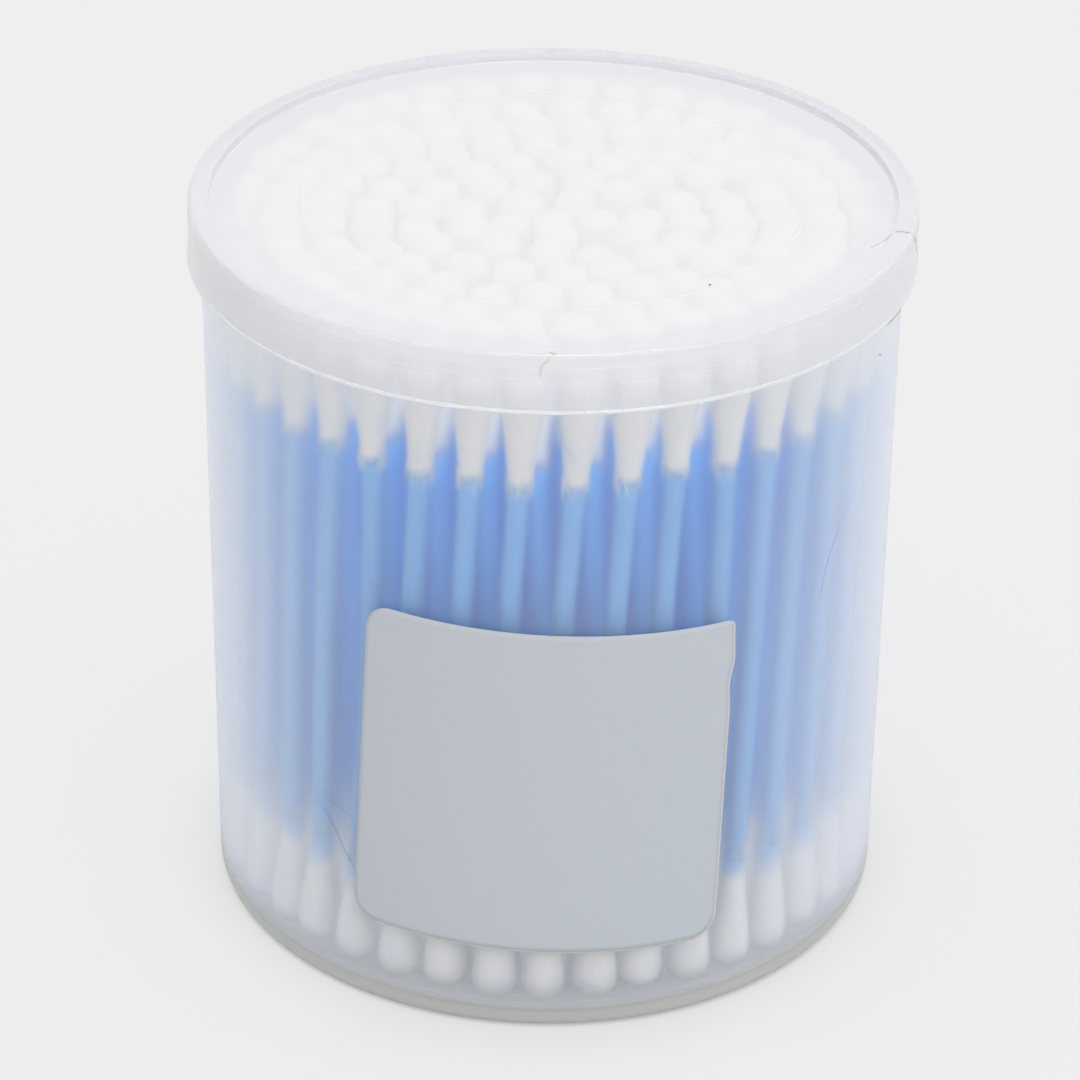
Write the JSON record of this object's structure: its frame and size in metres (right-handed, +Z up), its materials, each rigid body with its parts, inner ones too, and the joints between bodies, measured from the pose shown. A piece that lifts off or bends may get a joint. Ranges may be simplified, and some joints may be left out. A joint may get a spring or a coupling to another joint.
{
  "type": "cotton swab tub",
  "caption": "Round see-through plastic tub packed with upright cotton swabs, with a lift-off lid and a bare label on the front.",
  "frame": {"origin": "centre of the foot ring, on the surface that the tub stands on", "axes": "+Z up along the tub's axis, -Y towards the label at the front, +X to the right seen from the front"},
  "size_m": [0.0754, 0.0754, 0.0795],
  "materials": {
    "tub_plastic": "milky see-through polypropylene, glossy",
    "lid_plastic": "milky see-through polypropylene, glossy",
    "label_paper": "matte coated paper",
    "stem_plastic": "satin light blue plastic",
    "cotton": "wound cotton wool"
  },
  "bodies": {
    "tub": {"tub": "tub_plastic", "label": "label_paper", "ring_1_stems": "stem_plastic", "ring_1_upper_tips": "cotton", "ring_1_lower_tips": "cotton", "ring_2_stems": "stem_plastic", "ring_2_upper_tips": "cotton", "ring_2_lower_tips": "cotton", "ring_3_stems": "stem_plastic", "ring_3_upper_tips": "cotton", "ring_3_lower_tips": "cotton", "ring_4_stems": "stem_plastic", "ring_4_upper_tips": "cotton", "ring_4_lower_tips": "cotton", "ring_5_stems": "stem_plastic", "ring_5_upper_tips": "cotton", "ring_5_lower_tips": "cotton", "ring_6_stems": "stem_plastic", "ring_6_upper_tips": "cotton", "ring_6_lower_tips": "cotton", "core_stems": "stem_plastic", "core_upper_tips": "cotton", "core_lower_tips": "cotton"},
    "lid": {"lid": "lid_plastic"}
  },
  "joints": [
    {"name": "lid_lift", "type": "slide", "parent": "tub", "child": "lid", "axis": [0, 0, 1], "range_m": [0, 0.03]}
  ]
}
